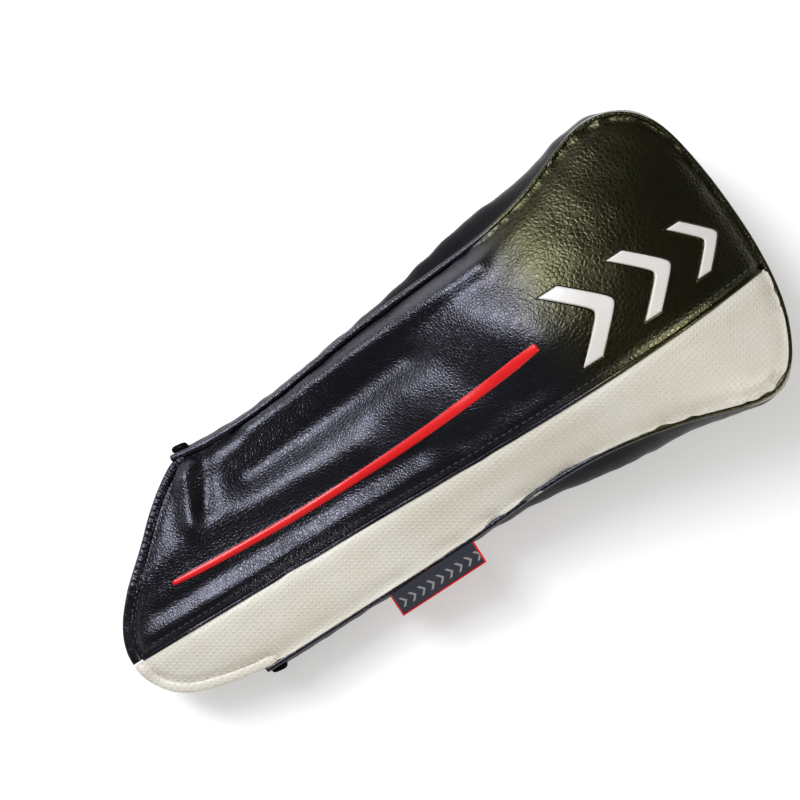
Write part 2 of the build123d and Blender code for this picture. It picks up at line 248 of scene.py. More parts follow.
def smooth_grid(z, passes):
    for _ in range(passes):
        p = np.pad(z, 1, mode="edge")
        z = (p[:-2, 1:-1] + p[2:, 1:-1] + p[1:-1, :-2] + p[1:-1, 2:] + 4 * z) / 8
    return z


def cad_heights(layers, rim, rim_lift, direction):
    """HeightMap of CAD faces: the first layer that a ray meets counts. The rim closes the edge."""
    x, y = HeightMap.grid()
    z = np.full(x.shape, np.nan)
    start = -FAR * direction.z
    for tree, lift in layers:
        for i, j in zip(*np.nonzero(np.isnan(z))):
            hit = tree.ray_cast(Vector((x[i, j], y[i, j], start)), direction)[0]
            if hit:
                z[i, j] = hit.z + lift
    cells = np.round((rim[:, :2] - HeightMap.low) / HeightMap.step).astype(int)
    z[cells[:, 0], cells[:, 1]] = rim[:, 2] + rim_lift
    while np.isnan(z).any():
        p = np.pad(z, 1, constant_values=np.nan)
        around = np.stack([p[:-2, 1:-1], p[2:, 1:-1], p[1:-1, :-2], p[1:-1, 2:]])
        known = ~np.isnan(around)
        mean = np.nansum(around, 0) / np.maximum(known.sum(0), 1)
        z = np.where(np.isnan(z) & known.any(0), mean, z)
    return HeightMap(smooth_grid(z, 3))


front_cad = cad_heights(
    [
        (node_tree("front_panel", "side_panel", "tongue_front_panel", "tongue_side_panel"), 0),
        (node_tree("front_foam", "tongue_front_foam"), FOAM_DEPTH),
        (node_tree("tongue_binding_black", "tongue_binding_white"), -BINDING_PROUD),
    ],
    front_rim, PIPE_DROP, DOWN,
)
back_cad = cad_heights(
    [(node_tree("back_panel", "back_neck_panel"), 0)], back_rim, -PIPE_DROP, UP
)
SEAM_REACH = 171        # the seam is measured between -x and +x, and carried on straight beyond
seam_points = node_points("seam_welt", "tongue_seam_welt")
seam = centre_line(seam_points, seam_points[:, 0], -SEAM_REACH, SEAM_REACH, reach=6.0)[:, :2]


def seam_y(x):
    """The front seam, carried on straight past its ends."""
    slopes = np.diff(seam[:, 1]) / np.diff(seam[:, 0])
    y = np.interp(x, seam[:, 0], seam[:, 1])
    before, after = np.minimum(x - seam[0, 0], 0), np.maximum(x - seam[-1, 0], 0)
    return y + before * slopes[0] + after * slopes[-1]


# ---- sculpting ----
def ease(t):
    t = np.clip(t, 0, 1)
    return t * t * (3 - 2 * t)


def fold(x, y, start, end, width, height):
    """A soft ridge (height above 0) or valley along a straight stretch, fading at its ends."""
    start, end = np.array(start), np.array(end)
    along = end - start
    length = np.linalg.norm(along)
    along = along / length
    u = (x - start[0]) * along[0] + (y - start[1]) * along[1]
    v = -(x - start[0]) * along[1] + (y - start[1]) * along[0]
    past = np.maximum(np.maximum(-u, u - length), 0)
    return height * np.exp(-(v / width) ** 2 - (past / (1.3 * width)) ** 2)


# Start, end, half width and height of each soft fold that the leather has taken.
FOLDS = [
    ((-66, 48), (62, 50), 6, 4.4),          # roll along the upper piping
    ((-80, 27), (12, 31), 8, -5.0),         # long hollow inside the roll
    ((-112, 18), (-30, 10), 8, 2.6),        # ridge above the stripe
    ((-101, 50), (-114, 24), 5, 3.2),       # stiff fold below the upper corner
    ((-92, 47), (-104, 26), 4, -2.2),
    ((-166, 10), (-130, 16), 6, 1.6),
    ((-160, -13), (-10, -16), 5, 1.6),      # swell above the seam
    ((-150, -5), (0, -8), 4, -1.0),
    ((18, -16), (52, -12), 7, -2.0),
    ((40, 46), (66, 6), 13, 3.0),           # shoulder where the head begins
    ((26, 18), (36, 0), 10, -1.8),
    ((-30, -44), (60, -42), 8, -1.0),
    ((-150, -36), (-70, -44), 9, 0.8),
]


def wrinkles(x, y, size, seed):
    """Smooth noise with bumps of about the given size."""
    flat = [noise.noise(Vector((a / size, b / size, seed))) for a, b in zip(np.ravel(x), np.ravel(y))]
    return np.array(flat).reshape(np.shape(x))


def groove_share(x, y):
    """1 where a groove parts the leather from its piping, 0 where the leather hides half of it."""
    return ease((75 - x) / 30) * ease(y / 20)


def bump(gap, centre, width):
    """1 at a distance of centre from an edge, falling off on both sides of it."""
    return np.exp(-((gap - centre) / width) ** 2)


def sculpt(x, y):
    """What the leather does on top of its padded shape."""
    z = sum(fold(x, y, *f) for f in FOLDS)
    z = z + 0.35 * wrinkles(x, y, 16, 3.0) + 0.12 * wrinkles(x, y, 6, 9.0)
    rim_gap = edge_distance(x, y, ~on_tongue)
    groove = groove_share(x, y)
    z = z + (0.7 - 3.7 * groove) * bump(rim_gap, 0, 3.6)        # groove beside the piping
    z = z + (0.3 + 0.8 * groove) * bump(rim_gap, 9, 5)          # roll inside that groove
    z = z - 0.9 * bump(edge_distance(x, y, on_tongue), 6, 1.6)  # stitched line round the tongue
    seam_gap = np.abs(y - seam_y(x))
    return z - 1.3 * bump(seam_gap, 0, 2.2) + 0.5 * bump(seam_gap, 7, 4)


sculpt_x, sculpt_y = HeightMap.grid()
front_folds = HeightMap(sculpt(sculpt_x, sculpt_y))
puff = HeightMap(np.zeros(HeightMap.shape))     # filled in by the cloth simulation below


def front(x, y):
    """Outside of the front of the cover."""
    return front_cad(x, y) + puff(x, y) + front_folds(x, y)


# ---- meshes ----
def staged(name, data):
    """A new object in the scene."""
    thing = bpy.data.objects.new(name, data)
    bpy.context.scene.collection.objects.link(thing)
    return thing


def new_object(name, corners, faces):
    """A smooth-shaded object from corners in millimetres, with its faces turned outwards."""
    mesh = bpy.data.meshes.new(name)
    mesh.from_pydata([tuple(c) for c in np.asarray(corners) * MM], [], faces)
    mesh.polygons.foreach_set("use_smooth", [True] * len(mesh.polygons))
    mesh.update()
    work = bmesh.new()
    work.from_mesh(mesh)
    bmesh.ops.recalc_face_normals(work, faces=work.faces)
    work.to_mesh(mesh)
    work.free()
    return staged(name, mesh)


def grid_faces(rows, columns, first=0, flip=False, wrap=False):
    """Quads of a grid of rows by columns corners; wrap joins the last column to the first."""
    faces = []
    for i in range(rows - 1):
        for j in range(columns if wrap else columns - 1):
            k = (j + 1) % columns
            quad = [i * columns + j, i * columns + k, (i + 1) * columns + k, (i + 1) * columns + j]
            quad = [first + q for q in quad]
            faces.append(quad[::-1] if flip else quad)
    return faces


def closed_sheet(name, outside, inside):
    """A sheet between two grids of corners, closed round its border."""
    rows, columns, _ = outside.shape
    count = rows * columns
    faces = grid_faces(rows, columns) + grid_faces(rows, columns, count, flip=True)
    ids = np.arange(count).reshape(rows, columns)
    border = np.concatenate([ids[0], ids[1:, -1], ids[-1, -2::-1], ids[-2:0:-1, 0]]).tolist()
    faces += [[a, a + count, b + count, b] for a, b in zip(border, border[1:] + border[:1])]
    return new_object(name, np.concatenate([outside.reshape(-1, 3), inside.reshape(-1, 3)]), faces)


def unit(vectors):
    return vectors / np.linalg.norm(vectors, axis=1)[:, None]


def tube_faces(rows, sides, first=0):
    """Faces of a closed tube of rows rings, with a flat cap at both ends."""
    faces = grid_faces(rows, sides, first, wrap=True)
    last = first + (rows - 1) * sides
    return faces + [[first + j for j in range(sides)], [last + j for j in range(sides - 1, -1, -1)]]


def sleeve(name, line, radius, bore, sides=16):
    """A hollow tube along a line, with one radius per point."""
    along = unit(np.gradient(line, axis=0))
    side = unit(np.cross(along, (0.0, 0.0, 1.0)))
    high = np.cross(side, along)
    turn = np.linspace(0, 2 * math.pi, sides, endpoint=False)
    ring = np.cos(turn)[None, :, None] * side[:, None] + np.sin(turn)[None, :, None] * high[:, None]
    reach = radius[:, None, None]
    outer = (line[:, None] + ring * reach).reshape(-1, 3)
    inner = (line[:, None] + ring * np.minimum(bore, 0.8 * reach)).reshape(-1, 3)
    count, last = len(outer), len(outer) - sides
    faces = grid_faces(len(line), sides, wrap=True)
    faces += grid_faces(len(line), sides, count, flip=True, wrap=True)
    for j in range(sides):
        k = (j + 1) % sides
        faces.append([j, j + count, k + count, k])
        faces.append([last + j, last + k, last + k + count, last + j + count])
    return new_object(name, np.concatenate([outer, inner]), faces)


def ribbon(name, line, half_width, profile, thickness, across=9):
    """A strip that lies on the front along a plan line; profile(t) is its height for t from -1 to 1."""
    heading = unit(np.gradient(line, axis=0))
    side = np.stack([-heading[:, 1], heading[:, 0]], 1)
    t = np.linspace(-1, 1, across)
    half = np.broadcast_to(np.asarray(half_width, float), (len(line),))
    plan = line[:, None] + side[:, None] * (half[:, None, None] * t[None, :, None])
    base = front(plan[..., 0], plan[..., 1])
    rise = np.broadcast_to(profile(t), base.shape)
    outside = np.concatenate([plan, (base + rise)[..., None]], 2)
    inside = np.concatenate([plan, (base + np.minimum(rise - thickness, -0.2))[..., None]], 2)
    return closed_sheet(name, outside, inside)


def stitch_row(name, line, pitch, length, radius, lift=0.15):
    """Separate stitches along a plan line on the front."""
    even = resample(line, pitch)
    corners, faces = [], []
    rings, sides = 5, 6
    for start, end in zip(even[:-1], even[1:]):
        middle, heading = (start + end) / 2, (end - start) / np.linalg.norm(end - start)
        for k in range(rings):
            s = -1 + 2 * k / (rings - 1)
            spot = middle + heading * (s * length / 2)
            swell = radius * math.sqrt(max(1 - s ** 4, 0.06))
            z = float(front(spot[0], spot[1])) + lift - 0.25 * s * s
            for j in range(sides):
                turn = 2 * math.pi * j / sides
                across = np.array([-heading[1], heading[0]]) * swell * math.cos(turn)
                corners.append((*(spot + across), z + swell * math.sin(turn)))
        faces += tube_faces(rings, sides, len(corners) - rings * sides)
    return new_object(name, corners, faces)


# ---- cloth: how far the padded front swells between its seams ----
VOXEL = 6.0             # size of the cloth's faces
PRESSURE = 4.0
SWELL_CAP = 6.0         # no place of the front rises or sinks more than this
BAG_DEPTH = 30.0
CLOTH_FRAMES = 20
PIN_REACH = 7.0         # cloth this near a seam stays where it is sewn


def remeshed(piece, voxel):
    """The piece as an even mesh in a new object; the first one is deleted."""
    modifier = piece.modifiers.new("remesh", "REMESH")
    modifier.mode, modifier.voxel_size = "VOXEL", voxel * MM
    graph = bpy.context.evaluated_depsgraph_get()
    even = staged("bag_cloth", bpy.data.meshes.new_from_object(piece.evaluated_get(graph)))
    bpy.data.objects.remove(piece)
    return even


def swell_of_front():
    """Rise of each place of the front when the cover is filled, from a cloth simulation."""
    line = inset_outline(1.0, 1.0)
    plan = plan_grid(evenly(outline_side(line, -1, 0), 110), evenly(outline_side(line, 1, 0), 110), 50)
    z = front_cad(plan[..., 0], plan[..., 1])
    bag = closed_sheet("bag", with_height(plan, z), with_height(plan, z - BAG_DEPTH))
    bag = remeshed(bag, VOXEL)
    rest = np.array([v.co for v in bag.data.vertices]) / MM
    x, y, top = rest[:, 0], rest[:, 1], front_cad(rest[:, 0], rest[:, 1])
    held = (edge_distance(x, y) < PIN_REACH) | (rest[:, 2] < top - BAG_DEPTH / 3)
    held |= np.abs(y - seam_y(x)) < PIN_REACH / 2
    pins = bag.vertex_groups.new(name="pins")
    pins.add([int(i) for i in np.nonzero(held)[0]], 1.0, "REPLACE")
    cloth = bag.modifiers.new("cloth", "CLOTH")
    cloth.settings.vertex_group_mass = "pins"
    cloth.settings.use_pressure = True
    cloth.settings.uniform_pressure_force = PRESSURE
    cloth.settings.effector_weights.gravity = 0
    cloth.settings.quality = 4
    cloth.collision_settings.use_collision = False
    for step in range(1, CLOTH_FRAMES + 1):
        bpy.context.scene.frame_set(step)
    graph = bpy.context.evaluated_depsgraph_get()
    moved = bag.evaluated_get(graph).to_mesh()
    corners = [v.co / MM for v in moved.vertices]
    tree = BVHTree.FromPolygons(corners, [list(p.vertices) for p in moved.polygons])
    rise = np.zeros(HeightMap.shape)
    grid_x, grid_y = HeightMap.grid()
    base = front_cad(grid_x, grid_y)
    for i, j in np.ndindex(*rise.shape):
        hit = tree.ray_cast(Vector((grid_x[i, j], grid_y[i, j], FAR)), DOWN)[0]
        if hit and abs(hit.z - base[i, j]) < 3 * SWELL_CAP:
            rise[i, j] = hit.z - base[i, j]
    bpy.context.scene.frame_set(1)
    bpy.data.objects.remove(bag)
    return HeightMap(smooth_grid(np.clip(rise, -SWELL_CAP, SWELL_CAP), 4))


# ---- front: leather, padding, welt, stripe ----
SIDE_INSET, TONGUE_INSET = 2.0, 5.0     # edge of the leather, inside the rim and the tongue's edge
PIPE_LAP = 0.5          # inset of the leather where it hides half of the piping
PADDING_INSET = 6.6     # edge of the foam and lining, inside the rim
SEAM_MARGIN = 0.7       # each panel stops this far from the seam
SEAM_STITCH_GAP = 4.0


def over_flex(piece, slot, *nodes):
    """A piece that runs from the cover on to its tongue: its transform is baked, its CAD nodes hidden and its
    finish named.
    """
    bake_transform(piece)
    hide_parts(*nodes)
    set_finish(piece, slot)


def on_cover(piece, slot, *nodes):
    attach(piece, "cover")
    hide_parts(*nodes)
    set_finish(piece, slot)


def inset_outline(beside_rim, beside_tongue):
    """The outline moved inwards, by one distance beside the rim and another on the tongue."""
    share = ease((past_mouth + 5) / 10)
    inset = beside_rim * (1 - share) + beside_tongue * share
    return outline - outline_out * inset[:, None]


def outline_side(line, sign, margin):
    """The stretch of a closed outline on one side of the seam, from the tongue to the head."""
    kept = sign * (line[:, 1] - seam_y(line[:, 0])) > margin
    first = int(np.argmax(kept & ~np.roll(kept, 1)))
    stretch = np.roll(line, -first, 0)[: int(kept.sum())]
    return stretch if stretch[0, 0] < stretch[-1, 0] else stretch[::-1]


def plan_grid(low_line, high_line, rows):
    """Corners between two plan lines, closer together near both."""
    t = np.linspace(0, 1, rows)
    t = (0.55 * t + 0.45 * (1 - np.cos(math.pi * t)) / 2)[:, None, None]
    return low_line[None] * (1 - t) + high_line[None] * t


def with_height(plan, z):
    return np.concatenate([plan, z[..., None]], 2)


def panel(name, sign, columns, rows):
    """The leather on one side of the seam."""
    groove = groove_share(outline[:, 0], outline[:, 1])
    line = inset_outline(PIPE_LAP + (SIDE_INSET - PIPE_LAP) * groove, TONGUE_INSET)
    high_line = evenly(outline_side(line, sign, SEAM_MARGIN + 0.3), columns)
    even = np.linspace(high_line[0, 0], high_line[-1, 0], columns)
    x = 0.5 * even + 0.5 * np.maximum.accumulate(high_line[:, 0])
    low_line = np.stack([x, seam_y(x) + sign * SEAM_MARGIN], 1)
    plan = plan_grid(low_line, high_line, rows)
    z = front(plan[..., 0], plan[..., 1])
    thin = 1 - 0.75 * np.exp(-(edge_distance(plan[..., 0], plan[..., 1]) / 2.5) ** 2)
    return closed_sheet(name, with_height(plan, z), with_height(plan, z - SKIN * thin))


def layer(name, top, bottom, columns=150, rows=46):
    """A layer of padding under the whole front."""
    line = inset_outline(PADDING_INSET, TONGUE_INSET)
    low_line, high_line = (evenly(outline_side(line, sign, 0), columns) for sign in (-1, 1))
    plan = plan_grid(low_line, high_line, rows)
    z = front(plan[..., 0], plan[..., 1])
    return closed_sheet(name, with_height(plan, z - top), with_height(plan, z - bottom))


def round_top(height):
    """Profile of a padded strip."""
    return lambda t: height * (1 - t ** 2) ** 0.6 - 0.1


def seam_line(offset, start, end):
    """A plan line at a distance from the seam."""
    x = np.linspace(start, end, 300)
    return np.stack([x, seam_y(x) + offset], 1)


def build_front():
    over_flex(panel("front_leather", 1, 380, 84), "black_leather", "front_panel", "tongue_front_panel")
    over_flex(panel("side_leather", -1, 360, 44), "ivory_leather", "side_panel", "tongue_side_panel")
    foam = layer("front_padding", FOAM_DEPTH, FOAM_BASE)
    over_flex(foam, "foam", "front_foam", "tongue_front_foam")
    lining = layer("front_fleece", LINING_DEPTH, STACK)
    over_flex(lining, "lining", "front_lining", "tongue_front_lining")
    low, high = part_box("tongue_seam_welt")[0].x / MM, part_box("seam_welt")[1].x / MM
    welt = ribbon("front_welt", seam_line(0, low, high), 0.95, round_top(0.9), 1.4)
    over_flex(welt, "black_leather", "seam_welt", "tongue_seam_welt")
    stitch_line = seam_line(SEAM_STITCH_GAP, low + 8, high - 2)
    stitches = stitch_row("front_stitches", stitch_line, 3.6, 2.5, 0.28)
    over_flex(stitches, "black_thread", "seam_stitches", "tongue_seam_stitches")
    points = node_points("red_stripe", "tongue_red_stripe")
    ends = points[:, 0].min(), points[:, 0].max()
    middle = centre_line(points, points[:, 0], ends[0] + 1, ends[1] - 1, reach=8.0)[:, :2]
    middle = resample(middle, 1.2)
    share = np.linspace(0, 1, len(middle))
    half = (1.7 + 1.1 * share) * np.minimum(1, 0.75 + 4 * np.minimum(share, 1 - share))
    stripe = ribbon("stripe", middle, half, round_top(1.0), 1.0, across=11)
    over_flex(stripe, "red_trim", "red_stripe", "tongue_red_stripe")
    border = ribbon("stripe_border", middle, half + 0.55, round_top(0.3), 0.5, across=11)
    over_flex(border, "black_leather")


# ---- emblem ----
CHEVRON_SWEEP = 20 / 19     # how far the arms trail, as a share of their reach
CHEVRON_SHOULDER = 1.1      # radius of the rounded border
CHEVRON_SINK = 0.25


def loose_boxes(node):
    """Plan boxes of the connected parts of a node's mesh, as (low x, low y, high x, high y)."""
    a, b = np.array([e.vertices for e in frame["nodes"][node].data.edges]).T
    points = node_points(node)[:, :2]
    part, before = np.arange(len(points)), None
    while not np.array_equal(part, before):
        before, lowest = part.copy(), np.minimum(part[a], part[b])
        np.minimum.at(part, a, lowest)
        np.minimum.at(part, b, lowest)
    groups = [points[part == k] for k in np.unique(part)]
    return [(*group.min(0), *group.max(0)) for group in groups]


def largest_boxes(boxes):
    """The boxes that aren't inside a larger one: a solid's faces may be separate in the mesh."""
    kept = []
    for box in sorted(boxes, key=lambda b: (b[2] - b[0]) * (b[3] - b[1]), reverse=True):
        if not any(box[0] > k[0] - 1 and box[2] < k[2] + 1 for k in kept):
            kept.append(box)
    return kept


def chevron(name, box, grow, height):
    """One chevron: a bar bent at its apex, with rounded shoulders."""
    low_x, low_y, high_x, high_y = box
    reach = (high_y - low_y) / 2
    middle_y = (low_y + high_y) / 2
    trail = CHEVRON_SWEEP * reach
    bar = high_x - low_x - trail
    rows, columns = 61, 17
    arm = np.linspace(-1, 1, rows)
    soft = np.sqrt(arm ** 2 + 0.012) - math.sqrt(0.012)
    across = np.linspace(0, 1, columns)
    y = middle_y + arm * (reach + grow)
    front_x = high_x - trail * soft * (reach + grow) / reach
    x = front_x[:, None] + grow - (bar + 2 * grow) * across[None]
    plan = np.stack([x, np.broadcast_to(y[:, None], x.shape)], 2)
    edge_across = np.minimum(across, 1 - across)[None] * (bar + 2 * grow)
    edge_along = (1 - np.abs(arm))[:, None] * (reach + grow)
    gap = np.minimum(np.minimum(edge_across, edge_along), CHEVRON_SHOULDER) / CHEVRON_SHOULDER
    rise = height * np.sqrt(1 - (1 - gap) ** 2)
    base = front(plan[..., 0], plan[..., 1])
    return closed_sheet(name, with_height(plan, base + rise), with_height(plan, base - CHEVRON_SINK))


def build_emblem():
    boxes = sorted(largest_boxes(loose_boxes("emblem")))
    for i, box in enumerate(boxes):
        on_cover(chevron(f"chevron_{i + 1}", box, 0, 1.7), "ivory_rubber", "emblem")
    for i, box in enumerate(boxes):
        on_cover(chevron(f"chevron_{i + 1}_border", box, 0.8, 0.35), "black_leather")


# ---- edge of the tongue ----
def flattened_ring(sides, across_power, up_power):
    """Across and up parts of a ring with squarer corners than a circle."""
    turn = np.linspace(0, 2 * math.pi, sides, endpoint=False)
    cos, sin = np.cos(turn), np.sin(turn)
    return np.sign(cos) * np.abs(cos) ** across_power, np.sign(sin) * np.abs(sin) ** up_power


EDGE_OVERLAP = 5.0      # how far the tongue's folded edge runs on past the flex line
EDGE_STEP = 0.8


def lip(name, line, out, half_width, half_height, lift, gather):
    """A rolled edge: a flattened tube along a plan line, gathered into small puckers."""
    sides = 18
    flat = flattened_ring(sides, 0.8, 0.8)
    along = np.arange(len(line)) * EDGE_STEP
    uneven = np.array([noise.noise(Vector((a / 3, 0, 7))) for a in along])
    pucker = gather * (0.5 + 0.5 * np.sin(along * 1.9) + 0.3 * uneven)
    z = front(line[:, 0], line[:, 1]) + lift
    across = flat[0][None] * half_width[:, None]
    up = flat[1][None] * (half_height + pucker[:, None] * (flat[1] > 0))
    corners = np.concatenate([
        line[:, None] + out[:, None] * across[..., None],
        (z[:, None] + up)[..., None],
    ], 2).reshape(-1, 3)
    return new_object(name, corners, tube_faces(len(line), sides))


def tongue_line(inset):
    """The tongue's edge in plan, moved inwards, with its outward directions."""
    ids = np.nonzero(past_mouth > -EDGE_OVERLAP)[0]
    if ids[-1] - ids[0] > len(ids):
        split = int(np.argmax(np.diff(ids) > 1)) + 1
        ids = np.concatenate([ids[split:], ids[:split]])
    line, out = outline[ids] - outline_out[ids] * inset, outline_out[ids]
    both = evenly(np.concatenate([line, out], 1), int(len(ids) / EDGE_STEP))
    return both[:, :2], both[:, 2:]


def build_tongue_edge():
    line, out = tongue_line(2.7)
    above = line[:, 1] > seam_y(line[:, 0])
    for name, keep, binding in (("black", above, "black"), ("ivory", ~above, "white")):
        part, part_out = line[keep], out[keep]
        half_width = 2.75 - 0.5 * ease((part[:, 1] - 12) / 16)
        gather = 0.75 * ease((part[:, 1] - 2) / 12) + 0.05
        piece = lip(f"tongue_edge_{name}", part, part_out, half_width, 1.75, -0.95, gather)
        over_flex(piece, f"{name}_leather", f"tongue_binding_{binding}")
    line, _ = tongue_line(6.1)
    above = line[:, 1] > seam_y(line[:, 0])
    for name, keep, thread in (("black", above, "black"), ("white", ~above, "ivory")):
        row = stitch_row(f"tongue_stitches_{name}", line[keep], 3.4, 2.4, 0.27, lift=0.1)
        over_flex(row, f"{thread}_thread", f"binding_stitches_{name}")


# ---- piping ----
def build_piping():
    for name, rim in (("front", front_rim), ("back", back_rim)):
        line = resample(rim, 1.6)
        start, end = line[0] - line[1], line[-1] - line[-2]
        past_start = [line[0] + 1.2 * start, line[0] + 0.9 * start]     # closes over the cord's end
        line = np.concatenate([past_start, line, [line[-1] + 0.9 * end, line[-1] + 1.2 * end]])
        unevenness = np.array([noise.noise(Vector((i * 0.35, 0, 2))) for i in range(len(line))])
        radius = PIPE_RADIUS + 0.3 * groove_share(line[:, 0], line[:, 1]) + 0.06 * unevenness
        radius[[0, -1]] = 0.5
        pipe = sleeve(f"{name}_pipe", line, radius, CORD_RADIUS + 0.05)
        on_cover(pipe, "black_leather", f"{name}_piping")


# ---- gusset and its padding ----
GUSSET_TOP_GAP = 2.2    # the gusset stops this far from the middle of each piping
HEAD_SEAM = 0.48        # place of the gusset's seam, as a share of the way round
RIM_STEP = 2.0
HEM_WIDTH = 8.0
MID_HEM = 1.7           # half the hem's thickness
HEM_ROWS = int(HEM_WIDTH / RIM_STEP)    # the gusset's rows that the hem takes up


def rim_directions(rim):
    """Outward directions along a rim, in plan."""
    ahead = unit(np.gradient(rim[:, :2], axis=0))
    return np.stack([-ahead[:, 1], ahead[:, 0]], 1)


gusset_rim = resample(front_rim, RIM_STEP)
gusset_out = rim_directions(gusset_rim)
gusset_low = np.array([np.interp(k, rim_key(back_rim), back_rim[:, 2]) for k in rim_key(gusset_rim)])


def gusset_bulge(levels):
    """How far the CAD gusset stands past the rim, at each place along the rim and each level."""
    tree = node_tree("gusset_left", "gusset_right")
    outside = 30        # rays start this far past the rim
    bulge = np.full((len(gusset_rim), len(levels)), np.nan)
    for i, (spot, out) in enumerate(zip(gusset_rim, gusset_out)):
        for j, level in enumerate(levels):
            z = gusset_low[i] + (spot[2] - gusset_low[i]) * level
            start = Vector((spot[0] + out[0] * outside, spot[1] + out[1] * outside, z))
            hit = tree.ray_cast(start, Vector((-out[0], -out[1], 0)), outside + 6)
            if hit[0]:
                bulge[i, j] = outside - hit[3]
    places = np.arange(len(gusset_rim))
    for column in bulge.T:
        known = ~np.isnan(column)
        column[:] = np.interp(places, places[known], column[known]) if known.any() else 0
    return bulge


LEVELS = np.linspace(0, 1, 21)
bulge = smooth_grid(np.maximum(gusset_bulge(LEVELS), 0), 2)


def gusset_surface(depth, creased=True):
    """Corners of the gusset, depth inside its outside: along the rim by up the side."""
    low, high = gusset_low + GUSSET_TOP_GAP, gusset_rim[:, 2] - GUSSET_TOP_GAP
    z = low[:, None] + (high - low)[:, None] * LEVELS[None]
    roll = 1.5 * np.sin(math.pi * LEVELS) ** 0.5
    shape = bulge + roll[None]
    if creased:
        along = np.arange(len(gusset_rim)) * RIM_STEP
        creases = wrinkles(*np.meshgrid(along, LEVELS * 14, indexing="ij"), 9, 5.0)
        shape = shape + 0.8 * creases * np.sin(math.pi * LEVELS)[None]
    plan = gusset_rim[:, None, :2] + gusset_out[:, None] * (shape - depth)[..., None]
    return with_height(plan, z)


def build_gusset():
    count = len(gusset_rim)
    split = int(HEAD_SEAM * count)
    whole = slice(HEM_ROWS, count - HEM_ROWS)
    for name, slot, node, span, top, bottom in (
        ("gusset_leather_left", "gloss_leather", "gusset_left", slice(HEM_ROWS, split), 0, SKIN),
        ("gusset_leather_right", "gloss_leather", "gusset_right", slice(split, count - HEM_ROWS), 0, SKIN),
        ("gusset_padding", "foam", "gusset_foam", whole, FOAM_DEPTH, FOAM_BASE),
        ("gusset_fleece", "lining", "gusset_lining", whole, LINING_DEPTH, STACK),
    ):
        on_cover(closed_sheet(name, gusset_surface(top)[span], gusset_surface(bottom)[span]), slot, node)


# ---- back ----
BAND_WIDTH = 8.0
NECK_RIPPLE = 0.55      # height of the stretch panel's gathers


def back_lines(inset, start, end, columns):
    """The back's two side lines between two places along x; the head end is its own limit."""
    line = back_rim[:, :2] - rim_directions(back_rim) * inset
    tip = int(np.argmax(line[:, 0]))
    upper, lower = line[: tip + 1], line[tip:][::-1]
    kept = [side[(side[:, 0] >= start) & (side[:, 0] <= end)] for side in (lower, upper)]
    return [evenly(side, columns) for side in kept]


def band_centres():
    """Place along x of the two elastic bands."""
    low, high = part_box("elastic_bands")
    return low.x / MM + BAND_WIDTH / 2, high.x / MM - BAND_WIDTH / 2


def gathers(x, y):
    """Puckers of the stretch panel where the elastic bands pull it in."""
    pull = 0
    for centre in band_centres():
        pull = pull + np.exp(-((x - centre) / 9) ** 2)
    wave = np.sin(y * 0.95 + 1.2 * np.sin(x * 0.11)) * (0.7 + 0.3 * np.sin(y * 0.31))
    return np.minimum(pull, 1) * wave


def back_layer(name, inset, start, end, top, bottom, columns, rows, ripple=0.0, edge=0.0):
    """A layer of the back, between two depths inside its outside."""
    lower, upper = back_lines(inset, start, end, columns)
    plan = plan_grid(lower, upper, rows)
    x, y = plan[..., 0], plan[..., 1]
    z = back_cad(x, y)
    if edge:
        gap = edge_distance(x, y, ~on_tongue)
        z = z + edge * np.exp(-(gap / 3.6) ** 2)
    if ripple:
        z = np.maximum(z + ripple * (1 + gathers(x, y)), 0)
    return closed_sheet(name, with_height(plan, z + bottom), with_height(plan, np.maximum(z, 0) + top))


def build_back():
    seam_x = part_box("back_panel")[0].x / MM
    mouth_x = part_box("back_neck_panel")[0].x / MM + HEM_WIDTH
    leather = back_layer("back_leather", SIDE_INSET, seam_x, FAR, 0, SKIN, 220, 90, edge=2.0)
    on_cover(leather, "black_leather", "back_panel")
    knit = back_layer("neck_knit", SIDE_INSET, mouth_x, seam_x - 0.3, 0, SKIN, 110, 150, ripple=NECK_RIPPLE)
    on_cover(knit, "stretch_fabric", "back_neck_panel")
    foam = back_layer("back_padding", PADDING_INSET, seam_x, FAR, FOAM_DEPTH, FOAM_BASE, 90, 40)
    on_cover(foam, "foam", "back_foam")
    lining = back_layer("back_fleece", PADDING_INSET, mouth_x, FAR, LINING_DEPTH, STACK, 120, 40)
    on_cover(lining, "lining", "back_lining")


def hem_path():
    """Down one side of the mouth, across the back and up the other, in the middle of the hem."""
    k = HEM_ROWS // 2
    surface = gusset_surface(MID_HEM, creased=False)
    left, right = surface[k][::-1], surface[-1 - k]
    flare = np.linspace(1, 0, len(left)) ** 3
    left = left + np.concatenate([gusset_out[k], [0]]) * (5.0 * flare)[:, None]
    right = right + np.concatenate([gusset_out[-1 - k], [0]]) * (4.0 * flare[::-1])[:, None]
    t = np.linspace(0, 1, 50)[1:-1, None]
    across = left[-1, :2] * (1 - t) + right[0, :2] * t
    floor = np.maximum(back_cad(across[:, 0], across[:, 1]), 0) + MID_HEM
    path = np.concatenate([left, with_height(across[None], floor[None])[0], right])
    for _ in range(6):
        path[1:-1] = (path[:-2] + 2 * path[1:-1] + path[2:]) / 4
    return resample(path, 1.6)


def build_hem():
    path = hem_path()
    mouth = np.broadcast_to(TOWARD_TONGUE, path.shape)
    thick = unit(np.cross(unit(np.gradient(path, axis=0)), mouth))
    sides = 20
    wide, deep = flattened_ring(sides, 0.6, 0.8)
    corners = path[:, None] + mouth[:, None] * (wide * HEM_WIDTH / 2)[None, :, None]
    corners += thick[:, None] * (deep * MID_HEM)[None, :, None]
    corners[..., 2] = np.maximum(corners[..., 2], 0.02)
    faces = tube_faces(len(path), sides)
    on_cover(new_object("mouth_edge", corners.reshape(-1, 3), faces), "gloss_leather", "mouth_hem")


